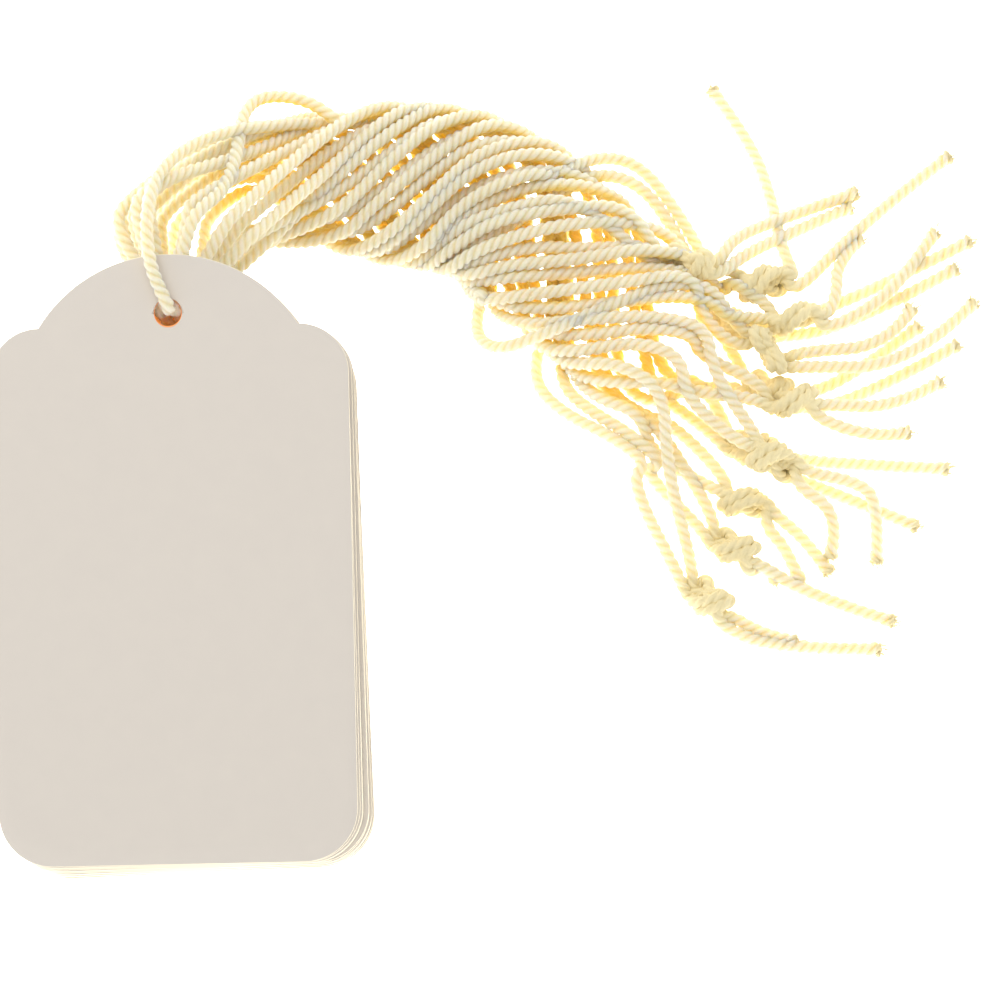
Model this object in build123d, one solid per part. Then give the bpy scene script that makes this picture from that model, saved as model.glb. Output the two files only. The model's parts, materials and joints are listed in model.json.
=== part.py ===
from build123d import *
import math
import os
import numpy as np

# A stack of blank card gift tags. Each tag hangs on its own cotton string: the string is folded
# through the tag's hole, both legs run off in one twisted hank, and a knot ties them at the far end.
# Millimetres, +Z up. The stack lies on the plane z = 0; +Y points to the arched ends of the tags.

# Card tag sizes
TAG_WIDTH = 40.0
TAG_LENGTH = 68.0
CARD_THICKNESS = 0.35
ARCH_RISE = 8.0
SHOULDER_RADIUS = 5.5
CORNER_RADIUS = 6.0
HOLE_DROP = 6.5

# String size, and the room it has in a hole and between two cards
STRING_DIAMETER = 1.35
STRING_GAP = 0.17
HOLE_PLAY = 0.30
CARD_CLEARANCE = 0.05

# The cards nearly meet past their lower edges and the strings hold them apart at the holes
EDGE_GAP = 0.05
EDGE_SPARE = 0.8

# How each tag lies in the stack, bottom to top: turn about its hole, and sideways place of its hole
TAG_TURNS_DEG = (2.7, 2.3, 2.6, 2.2, 2.5, 2.0, 1.8, 2.1, 1.7, 1.5, 1.6, 1.2)
TAG_SIDES = (0.35, 0.50, 0.40, 0.55, 0.30, 0.45, 0.20, 0.35, 0.10, 0.25, -0.10, 0.0)

# How the strands leave the holes: run between the cards, aim at the hank, and the first bend's share
CARD_RUN = 11.4
AIM_SIDE = 1.0
AIM_SPLIT = 0.9
AIM_SHARE = 1.05
FIRST_BEND_SHARE = 0.45

# The hank: its middle line from the top tag's hole, and half its width and height at those points
HANK_ROUTE = (
    (2.6, 12.4, 14.0),
    (6.2, 20.5, 10.4),
    (14.6, 23.35, 7.9),
    (25.8, 21.05, 6.6),
    (34.6, 16.65, 6.4),
    (42.45, 11.2, 5.95),
    (48.65, 6.4, 5.7),
)
HANK_HALF_WIDTHS = (6.0, 6.8, 7.8, 8.5, 9.25, 10.15, 9.9)
HANK_HALF_HEIGHTS = (11.5, 9.2, 7.05, 5.75, 5.55, 5.05, 4.85)
LAYER_STEP = 2.0

# The hank's twist: where it begins, turns of its outer and inner layer, and how fast it starts and ends
TWIST_FROM_SHARE = 0.25
TWIST_TURNS = (0.98, 1.055)
TWIST_START_SHARE = 0.095
TWIST_END_SHARE = 0.86
STATION_SHARES = (0.0, 0.2, 0.3, 0.4, 0.5, 0.6, 0.7, 0.8, 0.9, 1.0)
STATION_STEP_SHARE = 0.01
FIRST_STATION_SHARE = 0.81
LAST_STATION_SHARE = 0.56

# Strands round each layer from its foot up the left side: a string's number, with b for the leg behind
# its tag and f for the leg in front of it
OUTER_STRANDS = "1b 1f 5b 5f 9b 9f 12f 12b 10f 10b 6f 6b 2f 2b".split()
INNER_STRANDS = "3b 3f 7b 7f 11f 11b 8f 8b 4f 4b".split()

# Between the hank and its knot a string's two legs draw together
PINCH_SHARE = 0.58
PINCH_SPACING = 2.4

# Knots: sizes, and the spacing of the two legs and the two cut ends
KNOT_LENGTH = 4.2
KNOT_BELLY = 4.1
KNOT_NECK = 3.4
KNOT_LEG_SPACING = 1.85

# Knots by string: heading, and place from the top tag's hole with the height above the plane
KNOT_HEADINGS_DEG = (-26.0, -38.0, -32.0, -46.0, -2.0, -50.0, -12.5, -20.0, -8.0, -38.0, -14.0, -18.0)
NEAR_HEIGHT = 2.1
FAR_HEIGHT = 5.0
KNOT_PLACES = (
    (67.4, -3.6, NEAR_HEIGHT),
    (64.9, -16.8, NEAR_HEIGHT),
    (65.3, -10.4, NEAR_HEIGHT),
    (63.2, -22.4, NEAR_HEIGHT),
    (65.6, 13.8, NEAR_HEIGHT),
    (60.4, -28.0, NEAR_HEIGHT),
    (63.5, 7.35, NEAR_HEIGHT),
    (73.8, -7.0, FAR_HEIGHT),
    (67.4, 10.8, FAR_HEIGHT),
    (70.2, -17.8, FAR_HEIGHT),
    (70.6, 4.4, FAR_HEIGHT),
    (73.4, -1.6, FAR_HEIGHT),
)

# Cut ends by string, left then right: points on the way from the top tag's hole, heights above the plane
LOW = 0.72
SETTLE = 1.15
OVER = 2.7
TAILS = (
    (((77.0, -1.8, SETTLE), (84.9, 3.9, LOW)), ((78.0, -4.9, SETTLE), (89.3, 0.6, LOW))),
    (((71.6, -20.8, SETTLE), (74.3, -24.7, LOW)), ((69.4, -21.8, SETTLE), (71.2, -25.6, LOW))),
    (((76.0, -12.0, SETTLE), (87.9, -12.5, LOW)), ((75.0, -15.4, SETTLE), (84.3, -19.3, LOW))),
    (((72.0, -28.0, SETTLE), (81.5, -30.4, LOW)), ((67.0, -27.8, SETTLE), (69.2, -30.8, LOW))),
    (((72.6, 15.4, SETTLE), (79.2, 19.6, LOW)), ((73.0, 12.9, SETTLE), (80.0, 16.4, LOW))),
    (((66.4, -31.8, SETTLE), (70.4, -32.8, LOW)), ((68.0, -34.8, SETTLE), (79.9, -34.4, LOW))),
    (((76.0, 7.6, SETTLE), (90.9, 14.4, LOW)), ((76.4, 4.6, SETTLE), (89.3, 11.0, LOW))),
    (((82.0, -6.8, 2.6), (88.0, -3.4, LOW)), ((79.8, -10.0, 3.6), (84.0, -8.6, 1.8))),
    (((74.8, 13.6, 4.4), (74.0, 20.0, OVER), (66.0, 32.6, LOW)),
        ((79.4, 12.4, 3.4), (88.8, 24.6, LOW))),
    (((76.8, -20.8, 3.6), (80.2, -24.4, 1.4)), ((75.0, -22.6, 3.6), (77.4, -27.0, 1.4))),
    (((77.8, 6.8, 4.0), (80.2, 10.8, OVER)), ((81.0, 5.8, 4.0), (85.4, 12.6, 2.9), (87.8, 18.0, 1.0))),
    (((81.2, 1.2, 3.8), (84.0, 6.4, 1.4)), ((83.6, -1.8, 3.4), (91.4, 6.0, LOW))),
)

# Points measured along each arc for the printed lengths and gaps
ARC_SAMPLES = 9

# Worked out from the sizes above
TAG_COUNT = len(TAG_TURNS_DEG)
HOLE_DIAMETER = 2 * STRING_DIAMETER + HOLE_PLAY
STRING_SIDE = (STRING_DIAMETER + STRING_GAP) / 2
HOLE_GAP = STRING_DIAMETER + 2 * CARD_CLEARANCE
CARD_PITCH = HOLE_GAP + CARD_THICKNESS
BELOW_HOLE = TAG_LENGTH - HOLE_DROP
CORNER_REACH = math.hypot(TAG_WIDTH / 2 - CORNER_RADIUS, BELOW_HOLE - CORNER_RADIUS) + CORNER_RADIUS
WEDGE_LENGTH = CORNER_REACH + EDGE_SPARE
FIRST_TILT = math.asin(HOLE_GAP / BELOW_HOLE)
TILT_STEP = math.asin((HOLE_GAP - EDGE_GAP) / WEDGE_LENGTH)
RIGHT = np.array((1.0, 0.0, 0.0))
UP = np.array((0.0, 0.0, 1.0))


def unit(v):
    return v / np.linalg.norm(v)


def uphill(tilt):
    """Direction up the slope of a card that is tilted about X."""
    return np.array((0.0, math.cos(tilt), math.sin(tilt)))


def card_normal(tilt):
    return np.array((0.0, -math.sin(tilt), math.cos(tilt)))


def quarter(centre_x, centre_y, radius, start_deg):
    """Quarter arc about a centre, from the start angle to a right angle on from it."""
    return CenterArc((centre_x, centre_y), radius, start_deg, 90)


def card():
    """One die-cut tag, its hole at the origin and its arch towards +Y."""
    half = TAG_WIDTH / 2
    chord = half - SHOULDER_RADIUS
    shoulder = HOLE_DROP - ARCH_RISE
    side_top = shoulder - SHOULDER_RADIUS
    side_foot = CORNER_RADIUS - BELOW_HOLE
    foot = half - CORNER_RADIUS
    outline = [
        ThreePointArc((chord, shoulder), (0, HOLE_DROP), (-chord, shoulder)),
        quarter(-chord, side_top, SHOULDER_RADIUS, 90),
        Line((-half, side_top), (-half, side_foot)),
        quarter(-foot, side_foot, CORNER_RADIUS, 180),
        Line((-foot, -BELOW_HOLE), (foot, -BELOW_HOLE)),
        quarter(foot, side_foot, CORNER_RADIUS, 270),
        Line((half, side_foot), (half, side_top)),
        quarter(chord, side_top, SHOULDER_RADIUS, 0),
    ]
    sheet = make_face(Curve() + outline) - Circle(HOLE_DIAMETER / 2)
    return extrude(sheet, amount=CARD_THICKNESS / 2, both=True)


def tag_frames():
    """Hole centre and tilt of each tag, bottom to top, before the stack is centred."""
    frames = []
    lift = 0.0
    for k in range(TAG_COUNT):
        tilt = FIRST_TILT + k * TILT_STEP
        if k:
            lift += (CARD_THICKNESS + EDGE_GAP) / math.cos(tilt)
        foot = np.array((TAG_SIDES[k], 0.0, lift))
        frames.append((foot + WEDGE_LENGTH * uphill(tilt), tilt))
    return frames


def placed_card(blank, hole, tilt, turn):
    return Pos(*hole) * Rot(math.degrees(tilt), 0, 0) * Rot(0, 0, turn) * blank


def biarc(start, start_dir, end, end_dir):
    """Two tangent arcs from one place and direction to another, each as (start, middle, end, radius)."""
    span = end - start
    bend = 2 * (1 - start_dir @ end_dir)
    along = span @ (start_dir + end_dir)
    reach = (span @ span) / (along + math.sqrt(along**2 + bend * (span @ span)))
    joint = (start + end + reach * (start_dir - end_dir)) / 2
    arcs = []
    for a, b, corner in ((start, joint, start + reach * start_dir), (joint, end, end - reach * end_dir)):
        middle = (a + b) / 2
        half_chord = np.linalg.norm(b - a) / 2
        rise = np.linalg.norm(corner - middle)
        radius = half_chord * math.hypot(half_chord, rise) / rise if rise else math.inf
        share = half_chord / (half_chord + math.hypot(half_chord, rise))
        arcs.append((a, middle + share * (corner - middle), b, radius))
    return arcs


def path_arcs(nodes):
    """Tangent arcs through a list of places and directions."""
    return [arc for (a, da), (b, db) in zip(nodes, nodes[1:]) for arc in biarc(a, da, b, db)]


def arc_edge(arc):
    """An arc as an edge, or a line where it is flat."""
    start, middle, end, radius = arc
    if math.isinf(radius):
        return Line(tuple(start), tuple(end))
    return ThreePointArc(tuple(start), tuple(middle), tuple(end))


def arc_points(arc):
    """Points along an arc."""
    start, middle, end, radius = arc
    shares = np.linspace(0, 1, ARC_SAMPLES)[:, None]
    if math.isinf(radius):
        return start + shares * (end - start)
    centre = middle + radius * unit((start + end) / 2 - middle)
    x, y = unit(middle - centre), unit(end - start)
    half_turn = math.asin(min(1.0, np.linalg.norm(end - start) / (2 * radius)))
    angles = (2 * shares - 1) * half_turn
    return centre + radius * (np.cos(angles) * x + np.sin(angles) * y)


def tube(arcs):
    """A round tube along arcs that follow on from each other."""
    path = Wire([arc_edge(arc) for arc in arcs])
    start = Plane(origin=path @ 0, z_dir=path % 0)
    return sweep(start * Circle(STRING_DIAMETER / 2), path=path)


def straight(start, end):
    return (start, (start + end) / 2, end, math.inf)


def hank_frame(share):
    """Middle point, half width and half height of the hank, on cubic curves through its listed points."""
    rows = np.column_stack((HANK_ROUTE, HANK_HALF_WIDTHS, HANK_HALF_HEIGHTS))
    slopes = np.gradient(rows, axis=0)
    place = share * (len(rows) - 1)
    first = min(int(place), len(rows) - 2)
    t = place - first
    t2, t3 = t**2, t**3
    ends = (2 * t3 - 3 * t2 + 1) * rows[first] + (3 * t2 - 2 * t3) * rows[first + 1]
    return ends + (t3 - 2 * t2 + t) * slopes[first] + (t3 - t2) * slopes[first + 1]


def rounded_bar(turn, half_width, half_height):
    """Point on a bar's rounded outline: turn 0 is its foot, a quarter its left end, a half its top."""
    radius = min(half_width, half_height)
    flat, wall = half_width - radius, half_height - radius
    bow = math.pi * radius / 2
    side = flat + wall + bow
    quarters, run = divmod((turn % 1.0) * 4 * side, side)
    if quarters in (1, 3):
        run = side - run
    if run < flat:
        place = (run, half_height)
    elif run < flat + bow:
        angle = (run - flat) / radius
        place = (flat + radius * math.sin(angle), wall + radius * math.cos(angle))
    else:
        place = (half_width, side - run)
    left = 1 if quarters < 2 else -1
    top = 1 if quarters in (1, 2) else -1
    return left * place[0], top * place[1]


def section_place(strand, share):
    """Sideways place and height of a strand in the hank, turned back by the twist so far."""
    row = hank_frame(share)
    inset = LAYER_STEP * strand["layer"]
    along = max(0.0, (share - TWIST_FROM_SHARE) / (1 - TWIST_FROM_SHARE))
    start, end = TWIST_START_SHARE, TWIST_END_SHARE
    eased = start * along + (3 - 2 * start - end) * along**2 + (start + end - 2) * along**3
    turn = strand["turn"] - TWIST_TURNS[strand["layer"]] * eased
    return rounded_bar(turn, row[3] - inset, row[4] - inset)


def strand_place(strand, share, origin):
    """Place of a strand in the hank."""
    before, after = max(share - STATION_STEP_SHARE, 0.0), min(share + STATION_STEP_SHARE, 1.0)
    ahead = hank_frame(after)[:3] - hank_frame(before)[:3]
    side, height = section_place(strand, share)
    return origin + hank_frame(share)[:3] + side * unit(np.cross(UP, ahead)) + UP * height


def hank_nodes(strand, origin):
    """Places and directions of a strand at the hank's stations."""
    nodes = []
    for station in STATION_SHARES:
        share = TWIST_FROM_SHARE + (1 - TWIST_FROM_SHARE) * station
        before, after = share - STATION_STEP_SHARE, min(share + STATION_STEP_SHARE, 1.0)
        run = strand_place(strand, after, origin) - strand_place(strand, before, origin)
        nodes.append((strand_place(strand, share, origin), unit(run)))
    return nodes


def strand_of(number, face):
    """Layer, place round it and leaving angle of one leg of a string."""
    leg = f"{number}{'b' if face < 0 else 'f'}"
    layer = int(leg in INNER_STRANDS)
    ring = (OUTER_STRANDS, INNER_STRANDS)[layer]
    strand = {"layer": layer, "turn": (2 * ring.index(leg) + 1) / (2 * len(ring))}
    split = -AIM_SPLIT if number % 2 else AIM_SPLIT
    aim = AIM_SIDE - AIM_SHARE * section_place(strand, TWIST_FROM_SHARE)[0] + split
    strand["leave"] = math.asin(max(-1.0, min(1.0, aim / CARD_RUN)))
    return strand


def knot_frame(number, origin):
    """Middle, axis and left direction of a string's knot."""
    heading = math.radians(KNOT_HEADINGS_DEG[number - 1])
    axis = np.array((math.cos(heading), math.sin(heading), 0.0))
    return origin + np.array(KNOT_PLACES[number - 1]), axis, np.cross(UP, axis)


def leg_nodes(strand, face, hole, tilt, side, out, knot, pinch, inner, origin):
    """Places and directions of one leg, from its hole to its knot."""
    place, axis, left = knot
    normal = card_normal(tilt)
    gap_tilt = tilt + face * TILT_STEP / 2
    ray = RIGHT * math.sin(strand["leave"]) + uphill(gap_tilt) * math.cos(strand["leave"])
    ring = hank_nodes(strand, origin)
    entry = place - axis * (KNOT_LENGTH / 2 + STRING_DIAMETER) + left * inner * KNOT_LEG_SPACING / 2
    points = [hole + side + (CARD_PITCH / 2) * (out + face * normal)]
    points.append(hole + face * normal * CARD_PITCH / 2 + ray * CARD_RUN)
    points += [p for p, _ in ring]
    points += [pinch, entry]
    ways = [out] + [unit(c - a) for a, c in zip(points, points[2:])] + [axis]
    ways[3:2 + len(ring)] = [way for _, way in ring[1:]]
    ways[2] = unit((1 - FIRST_STATION_SHARE) * ways[2] + FIRST_STATION_SHARE * ring[0][1])
    last = 1 + len(ring)
    ways[last] = unit((1 - LAST_STATION_SHARE) * unit(points[last + 1] - points[last - 1])
                      + LAST_STATION_SHARE * ways[last])
    gap_normal = card_normal(gap_tilt)
    ways[1] = unit(ways[1] - gap_normal * (ways[1] @ gap_normal))
    return list(zip(points, ways))


def string_arcs(number, hole, tilt, origin):
    """One looped string: knot, leg behind its tag, round the card at the hole, leg in front, knot."""
    side = RIGHT * STRING_SIDE * (-1 if number % 2 else 1)
    faces = (-1, 1)
    strands = [strand_of(number, face) for face in faces]
    first = FIRST_BEND_SHARE * sum(s["leave"] for s in strands) / len(strands)
    out = RIGHT * math.sin(first) + uphill(tilt) * math.cos(first)
    knot = knot_frame(number, origin)
    place, axis, _ = knot
    entry = place - axis * (KNOT_LENGTH / 2 + STRING_DIAMETER)
    middle = sum(strand_place(s, 1.0, origin) for s in strands) / len(strands)
    across = unit(np.cross(UP, entry - middle))
    sides = [section_place(s, 1.0)[0] for s in strands]
    legs = []
    for k, face in enumerate(faces):
        inner = 1 if sides[k] == max(sides) else -1
        pinch = middle + PINCH_SHARE * (entry - middle) + across * inner * PINCH_SPACING / 2
        nodes = leg_nodes(strands[k], face, hole, tilt, side, out, knot, pinch, inner, origin)
        neck = nodes[-1][0] + axis * STRING_DIAMETER
        legs.append(path_arcs(nodes) + [straight(nodes[-1][0], neck)])
    back = [(end, middle, start, radius) for start, middle, end, radius in reversed(legs[0])]
    turn = (back[-1][2], hole + side, legs[1][0][0], CARD_PITCH / 2)
    return back, turn, legs[1]


def tail_arcs(knot, points, inner, origin):
    """One cut end, from its knot to its last point."""
    place, axis, left = knot
    neck = place + axis * KNOT_LENGTH / 2 + left * inner * KNOT_LEG_SPACING / 2
    places = [neck + axis * STRING_DIAMETER] + [origin + np.array(p) for p in points]
    ways = [axis] + [unit(c - a) for a, c in zip(places, places[2:])] + [unit(places[-1] - places[-2])]
    return [straight(neck, places[0])] + path_arcs(list(zip(places, ways)))


def barrel_knot():
    """A pulled knot as a barrel along X with flat necks, where the cords meet it."""
    end = KNOT_LENGTH / 2
    neck = KNOT_NECK / 2
    belly = ThreePointArc((-end, neck), (0, KNOT_BELLY / 2), (end, neck))
    profile = make_face(Curve() + [belly, Polyline((end, neck), (end, 0), (-end, 0), (-end, neck))])
    return revolve(profile, axis=Axis.X)


def points_of(arcs):
    return np.concatenate([arc_points(arc) for arc in arcs])


def length_of(arcs):
    return sum(np.linalg.norm(np.diff(arc_points(arc), axis=0), axis=1).sum() for arc in arcs)


def gap(points_a, points_b):
    return np.sqrt(((points_a[:, None] - points_b[None]) ** 2).sum(-1)).min() - STRING_DIAMETER


def knot_gap(points, knot):
    """Least gap from a tube's middle line to the cylinder that holds a knot's barrel."""
    place, axis, _ = knot
    along = np.abs((points - place) @ axis)
    aside = np.linalg.norm(points - place - np.outer((points - place) @ axis, axis), axis=1)
    past = np.maximum(along - KNOT_LENGTH / 2, 0.0)
    return np.hypot(past, np.maximum(aside - KNOT_BELLY / 2, 0.0)).min() - STRING_DIAMETER / 2


def build():
    os.makedirs("parts", exist_ok=True)
    blank = card()
    frames = tag_frames()
    cards = [placed_card(blank, hole, tilt, turn) for (hole, tilt), turn in zip(frames, TAG_TURNS_DEG)]
    box = Compound(children=[Compound(c.wrapped) for c in cards]).bounding_box()
    shift = np.array((-box.center().X, -box.center().Y, -box.min.Z))
    frames = [(hole + shift, tilt) for hole, tilt in frames]
    origin = frames[-1][0] * np.array((1.0, 1.0, 0.0))
    knot_blank = barrel_knot()
    runs = {}
    knots = {}
    for number, (hole, tilt) in enumerate(frames, 1):
        name = f"{number:02d}"
        export_step(Pos(*shift) * cards[number - 1], f"parts/tag_{name}.step")
        back, turn, front = string_arcs(number, hole, tilt, origin)
        string = tube(back + [turn] + front)
        export_step(string, f"parts/string_{name}.step")
        knot = knot_frame(number, origin)
        place, axis, _ = knot
        export_step(Plane(origin=tuple(place), x_dir=tuple(axis), z_dir=tuple(UP)) * knot_blank,
                    f"parts/knot_{name}.step")
        tails = [tail_arcs(knot, points, inner, origin) for points, inner in zip(TAILS[number - 1], (1, -1))]
        tubes = [tube(arcs) for arcs in tails]
        export_step(Compound(children=tubes), f"parts/tails_{name}.step")
        knots[number] = knot
        runs[number] = [points_of(back), points_of(front)] + [points_of(arcs) for arcs in tails]
        radii = [arc[3] for arcs in (back, front, *tails) for arc in arcs]
        loop = length_of(back + [turn] + front)
        section = math.pi * (STRING_DIAMETER / 2) ** 2
        ends = [length_of(arcs) for arcs in tails]
        lows = [p[:, 2].min() - STRING_DIAMETER / 2 for p in runs[number]]
        print(name, "hole", np.round(hole, 4), "tilt", round(math.degrees(tilt), 4),
              "loop", round(loop, 1), "ends", np.round(ends, 1), "least radius", round(min(radii), 2),
              "volume over section", round(string.volume / section / loop, 4), "low", round(min(lows), 3))
    for number, paths in runs.items():
        skip = 2 * ARC_SAMPLES
        self_gap = gap(paths[0][ARC_SAMPLES:-skip], paths[1][skip:-ARC_SAMPLES])
        print(f"string {number}: gap to itself {self_gap:.2f}, between its ends {gap(paths[2][skip:], paths[3]):.2f}")
        for other in range(number + 1, TAG_COUNT + 1):
            least = min(gap(a, b) for a in paths for b in runs[other])
            knot_least = min(min(knot_gap(p, knots[other]) for p in paths),
                             min(knot_gap(p, knots[number]) for p in runs[other]))
            if min(least, knot_least) < STRING_GAP:
                print(f"strings {number} and {other}: gap {least:.2f}, to each other's knots {knot_least:.2f}")


build()
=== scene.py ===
# %% [markdown]
# # Gift tags on cotton strings
#
# A small stack of blank card tags. Each tag is punched near its arched end, and a loop of twisted
# cotton string goes through the hole. All the loops lie together in one loose twisted hank, and each
# loop is closed by a knot with two cut ends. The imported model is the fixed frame: every piece below is
# made in its millimetres and rides on one of its bodies, so the tags still turn when it is posed.

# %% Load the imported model
import bpy
import json
import math
import numpy as np
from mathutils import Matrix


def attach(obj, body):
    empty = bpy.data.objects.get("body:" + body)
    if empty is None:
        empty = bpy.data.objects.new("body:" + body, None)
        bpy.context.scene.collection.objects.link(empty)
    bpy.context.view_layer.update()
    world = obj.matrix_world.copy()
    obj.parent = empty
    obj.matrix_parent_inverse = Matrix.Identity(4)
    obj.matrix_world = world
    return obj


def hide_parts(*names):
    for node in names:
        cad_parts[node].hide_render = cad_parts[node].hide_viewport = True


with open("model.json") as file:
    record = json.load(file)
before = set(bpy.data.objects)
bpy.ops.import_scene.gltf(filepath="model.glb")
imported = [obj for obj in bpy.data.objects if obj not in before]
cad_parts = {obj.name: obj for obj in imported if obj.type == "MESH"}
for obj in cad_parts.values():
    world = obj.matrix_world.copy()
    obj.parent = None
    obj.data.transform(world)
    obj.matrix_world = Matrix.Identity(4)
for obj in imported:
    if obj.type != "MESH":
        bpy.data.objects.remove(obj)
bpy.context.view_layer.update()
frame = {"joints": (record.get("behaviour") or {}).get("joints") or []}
MM = 0.001
RIGHT = np.array((1.0, 0.0, 0.0))
BACKWARD = np.array((0.0, 1.0, 0.0))
UP = np.array((0.0, 0.0, 1.0))
joints = frame["joints"]
HOLES = np.array([joint["pos_m"] for joint in joints]) / MM
NORMALS = np.array([joint["axis"] for joint in joints])
TILTS = np.arctan2(-NORMALS[:, 1], NORMALS[:, 2])
TAG_COUNT = len(HOLES)
print(TAG_COUNT, "tags; top hole at", np.round(HOLES[-1], 2), "mm")
print("top tag tilted by", round(math.degrees(TILTS[-1]), 1), "degrees")

# %% [markdown]
# ## Camera
#
# The photograph looks straight at the top tag with a long lens. The camera could be placed by eye, but
# then it would have to be placed again whenever the stack changed. So its place is worked out: it
# stands on the line through the middle of the picture that is square to the top tag, and its up
# direction runs up that tag.

# %% Camera square to the top tag
PICTURE_MM = 109.6
CAMERA_AWAY_MM = 800.0
LOOK_RIGHT_MM, LOOK_DOWN_MM = 36.1, 20.0
SENSOR_MM = 36.0
CLIP_NEAR_M, CLIP_FAR_M = 0.01, 10.0
scene = bpy.context.scene


def unit(v):
    """Each vector of an array, made one long."""
    return v / np.linalg.norm(v, axis=-1, keepdims=True)


def uphill(tilt):
    """Direction up a card that is tilted about X."""
    return np.array((0.0, math.cos(tilt), math.sin(tilt)))


slope = uphill(TILTS[-1])
target = HOLES[-1] + LOOK_RIGHT_MM * RIGHT - LOOK_DOWN_MM * slope
camera = bpy.data.objects.new("camera", bpy.data.cameras.new("camera"))
camera.data.sensor_width = SENSOR_MM
camera.data.lens = SENSOR_MM * CAMERA_AWAY_MM / PICTURE_MM
camera.data.clip_start, camera.data.clip_end = CLIP_NEAR_M, CLIP_FAR_M
placing = np.eye(4)
placing[:3, :3] = np.column_stack((RIGHT, slope, NORMALS[-1]))
placing[:3, 3] = (target + CAMERA_AWAY_MM * NORMALS[-1]) * MM
camera.matrix_world = placing.T.tolist()
scene.collection.objects.link(camera)
scene.camera = camera
print("camera lens", round(camera.data.lens, 1), "mm, from", np.round(placing[:3, 3], 3), "m")

# %% [markdown]
# ## Light and floor
#
# The tags lie on a bright white light table: the floor is brighter than the card, so the card's face
# looks pale grey beside it, and light comes up through the strings. The table could be a box of lamps
# under milk glass. One plane that glows gives the same even light with less noise. A white sky and one
# large soft lamp do the rest.


# %% Colours and shader nodes
def linear(code):
    """A colour written as sRGB hex, as the linear numbers that shaders take."""
    part = np.array([int(code[k:k + 2], 16) for k in (1, 3, 5)]) / 255
    return (*np.where(part <= 0.04045, part / 12.92, ((part + 0.055) / 1.055) ** 2.4).tolist(), 1.0)


def set_inputs(material, node, inputs):
    """Feed a node's inputs, by name or number: a socket is linked, and any other value is put on it."""
    for name, value in inputs.items():
        if isinstance(value, bpy.types.NodeSocket):
            material.node_tree.links.new(value, node.inputs[name])
        else:
            node.inputs[name].default_value = value


def add_node(material, kind, inputs=None, **settings):
    """One shader node: the settings go on the node itself, and the inputs on its sockets."""
    node = material.node_tree.nodes.new(kind)
    for name, value in settings.items():
        setattr(node, name, value)
    set_inputs(material, node, inputs or {})
    return node


def new_material(name):
    """A material that holds one shader and its output, and that shader."""
    material = bpy.data.materials.new(name)
    material.use_nodes = True
    material.node_tree.nodes.clear()
    shader = add_node(material, "ShaderNodeBsdfPrincipled")
    add_node(material, "ShaderNodeOutputMaterial", {"Surface": shader.outputs[0]})
    return material, shader


WHITE = (1, 1, 1, 1)
print("mid grey #808080 is", np.round(linear("#808080"), 3), "in linear numbers")

# %% Floor
FLOOR_GLOW = 2.1
FLOOR_HALF_MM = 2500.0


def mesh_piece(name, points_mm, faces, material, smooth=True):
    """A mesh object at the origin from points in millimetres and a list of faces."""
    mesh = bpy.data.meshes.new(name)
    mesh.from_pydata((points_mm * MM).tolist(), [], faces)
    mesh.polygons.foreach_set("use_smooth", np.full(len(mesh.polygons), smooth))
    mesh.materials.append(material)
    piece = bpy.data.objects.new(name, mesh)
    scene.collection.objects.link(piece)
    return piece


scene.view_settings.view_transform = "Standard"
# Milk glass with lamps behind it: matt, and so bright that the eye sees plain white.
table_white, shader = new_material("white light table")
set_inputs(table_white, shader, {"Base Color": linear("#f4f4f4"), "Roughness": 0.9,
                                 "Emission Color": WHITE, "Emission Strength": FLOOR_GLOW})
corners = np.array(((-1, -1, 0), (1, -1, 0), (1, 1, 0), (-1, 1, 0))) * FLOOR_HALF_MM
floor = mesh_piece("floor", corners, [(0, 1, 2, 3)], table_white, smooth=False)
print("floor", 2 * FLOOR_HALF_MM, "mm wide, with a glow of", FLOOR_GLOW)

# %% Sky and lamp
SKY_STRENGTH = 0.76
LAMP_WATTS, LAMP_SIZE_M = 1.7, 0.5
LAMP_PLACE_M = (-0.25, 0.35, 0.6)
LAMP_TURN_DEG = (-28.0, -21.0, 0.0)
sky = bpy.data.worlds.new("sky")
sky.use_nodes = True
background = sky.node_tree.nodes["Background"]
background.inputs["Color"].default_value = WHITE
background.inputs["Strength"].default_value = SKY_STRENGTH
scene.world = sky
lamp = bpy.data.objects.new("soft_lamp", bpy.data.lights.new("soft_lamp", "AREA"))
lamp.data.shape, lamp.data.size = "DISK", LAMP_SIZE_M
lamp.data.energy = LAMP_WATTS
lamp.location = LAMP_PLACE_M
lamp.rotation_euler = [math.radians(turn) for turn in LAMP_TURN_DEG]
scene.collection.objects.link(lamp)
print("sky", SKY_STRENGTH, "and a lamp of", LAMP_WATTS, "W")

# %% [markdown]
# ## Route of the strings
#
# A real string is one length of cotton, folded through its tag's hole. Its two legs run between the
# cards, join the hank, go side by side through one overhand knot, and end in two cut tails. A
# simulation could drop them on the table, but they would not fall as the photograph shows them. So
# each leg is drawn, from the hole to its cut end. The hank is one ring of strands about a middle line,
# and it turns as it goes along, as when a bunch of loops is given a twist. Some strands lie a little
# deeper than the rest. Some leave early, and the others then spread to fill the ring.

# %% Strands in their order round the ring: the tag's number, then b for its back leg or f for its front
STRING_DIAMETER = 1.35
OUTER_STRANDS = "1b 1f 5b 5f 9b 9f 12f 12b 10f 10b 6f 6b 2f 2b".split()
INNER_STRANDS = "3b 3f 7b 7f 11f 11b 8f 8b 4f 4b".split()
LEAVERS = "1f 7b 6b 4f 12f".split()


def even_turns(strands):
    """Each strand's share of a full turn, when all stand evenly round a ring."""
    return {leg: (place + 0.5) / len(strands) for place, leg in enumerate(strands)}


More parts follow.
